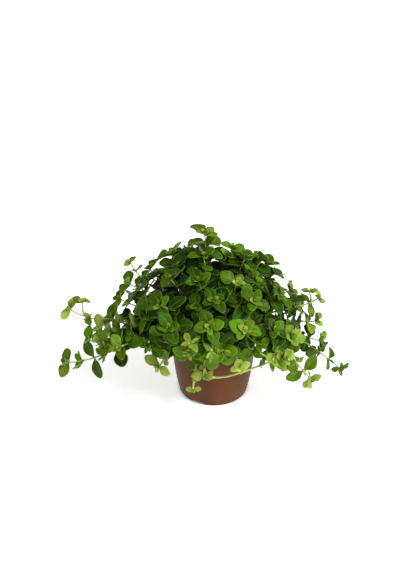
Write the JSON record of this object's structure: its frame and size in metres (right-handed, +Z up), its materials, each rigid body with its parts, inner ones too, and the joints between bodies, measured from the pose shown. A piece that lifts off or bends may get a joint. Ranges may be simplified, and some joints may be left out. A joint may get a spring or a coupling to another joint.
{
  "type": "potted peperomia",
  "caption": "Low, spreading houseplant with spoon-shaped leaves on trailing stems, in a round plastic nursery pot with notches and drain holes in its foot.",
  "frame": {"origin": "centre of the pot's underside, on the surface it stands on", "axes": "+Z up along the pot's axis, -Y towards the front of the plant, +X to the right seen from the front"},
  "size_m": [0.4168, 0.2869, 0.2418],
  "materials": {
    "pot_plastic": "satin",
    "peat": "matte",
    "foliage": "satin",
    "young_foliage": "satin"
  },
  "bodies": {
    "root": {"pot": "pot_plastic", "soil": "peat", "across_front": "young_foliage", "broad_left": "foliage", "crown_back": "foliage", "crown_far_1": "foliage", "crown_far_2": "foliage", "crown_far_3": "foliage", "crown_left": "foliage", "crown_middle": "foliage", "crown_right": "foliage", "crown_top": "foliage", "fan_left": "foliage", "front_high": "foliage", "front_left_bright": "young_foliage", "front_left_dark": "foliage", "front_left_middle": "foliage", "front_middle": "foliage", "front_right_high": "foliage", "front_right_middle": "foliage", "front_top": "foliage", "hanging_front": "young_foliage", "hook_left": "foliage", "inner_front": "foliage", "inner_left": "foliage", "inner_left_low": "foliage", "inner_right": "foliage", "inner_right_low": "foliage", "long_left": "foliage", "low_left": "foliage", "low_left_up": "foliage", "low_right": "young_foliage", "narrow_front": "young_foliage", "pale_front": "young_foliage", "pale_right": "young_foliage", "pale_upright": "young_foliage", "rosette_left": "foliage", "shoulder_far_1": "foliage", "shoulder_far_2": "foliage", "shoulder_far_3": "foliage", "shoulder_far_4": "foliage", "shoulder_right_back": "foliage", "shoulder_right_front": "foliage", "shoulder_right_high": "foliage", "shoulder_right_low": "foliage", "side_right": "foliage", "side_right_low": "foliage", "skirt_far_1": "foliage", "skirt_far_2": "foliage", "skirt_far_3": "foliage", "skirt_far_4": "foliage", "skirt_far_5": "foliage", "spoon_front": "young_foliage", "sprig_left": "foliage", "sprig_left_back": "foliage", "thin_right": "young_foliage", "tiny_left": "foliage", "trailing_far_1": "foliage", "trailing_far_2": "foliage", "trailing_right": "foliage"}
  },
  "joints": []
}
